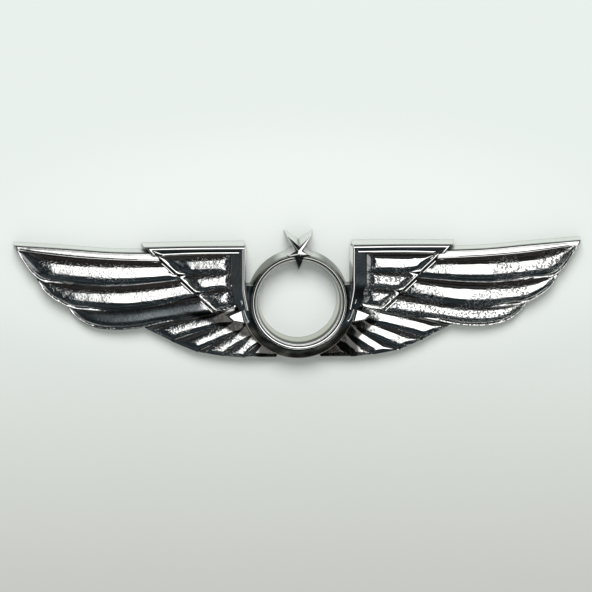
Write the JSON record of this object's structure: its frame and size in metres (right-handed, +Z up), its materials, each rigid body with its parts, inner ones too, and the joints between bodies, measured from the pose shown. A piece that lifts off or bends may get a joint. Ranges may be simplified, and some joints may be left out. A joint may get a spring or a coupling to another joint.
{
  "type": "wings badge pin",
  "caption": "Plated wing-shaped badge with an open ring and a small star at its centre, held on cloth by pointed posts and squeeze clutches behind the wings.",
  "frame": {"origin": "centre of the ring, on the plane of the casting's flat back, where the cloth lies", "axes": "+X along the span to the right of someone facing the badge, +Y backwards into the cloth and along the posts, +Z up as worn"},
  "size_m": [0.0764, 0.0106, 0.0174],
  "materials": {
    "chrome_casting": "polished bright plate over a cast surface, dark in the grooves",
    "post_steel": "drawn and plated",
    "clutch_brass": "pressed, lightly lacquered",
    "wing_brass": "pressed spring sheet",
    "spring_bronze": "drawn wire"
  },
  "bodies": {
    "badge": {"wings_casting": "chrome_casting", "left_post": "post_steel", "right_post": "post_steel"},
    "left_clutch": {"left_clutch_base": "clutch_brass", "left_clutch_cover": "clutch_brass", "left_clutch_spring": "spring_bronze"},
    "left_outer_wing": {"left_clutch_outer_wing": "wing_brass"},
    "left_inner_wing": {"left_clutch_inner_wing": "wing_brass"},
    "right_clutch": {"right_clutch_base": "clutch_brass", "right_clutch_cover": "clutch_brass", "right_clutch_spring": "spring_bronze"},
    "right_outer_wing": {"right_clutch_outer_wing": "wing_brass"},
    "right_inner_wing": {"right_clutch_inner_wing": "wing_brass"}
  },
  "joints": [
    {"name": "left_clutch_slide", "type": "slide", "parent": "badge", "child": "left_clutch", "axis": [0, 1, 0], "range_m": [0, 0.006]},
    {"name": "left_squeeze", "type": "slide", "parent": "left_clutch", "child": "left_outer_wing", "axis": [1, 0, 0], "range_m": [0, 0.0006], "stiffness_N_per_m": 300, "deforming": ["left_clutch_spring"]},
    {"name": "left_squeeze_inner", "type": "slide", "parent": "left_clutch", "child": "left_inner_wing", "axis": [-1, 0, 0], "range_m": [0, 0.0006]},
    {"name": "right_clutch_slide", "type": "slide", "parent": "badge", "child": "right_clutch", "axis": [0, 1, 0], "range_m": [0, 0.006]},
    {"name": "right_squeeze", "type": "slide", "parent": "right_clutch", "child": "right_outer_wing", "axis": [-1, 0, 0], "range_m": [0, 0.0006], "stiffness_N_per_m": 300, "deforming": ["right_clutch_spring"]},
    {"name": "right_squeeze_inner", "type": "slide", "parent": "right_clutch", "child": "right_inner_wing", "axis": [1, 0, 0], "range_m": [0, 0.0006]}
  ],
  "couplings": [
    {"joint": "left_squeeze_inner", "follows": "left_squeeze", "ratio": 1},
    {"joint": "right_squeeze_inner", "follows": "right_squeeze", "ratio": 1}
  ]
}
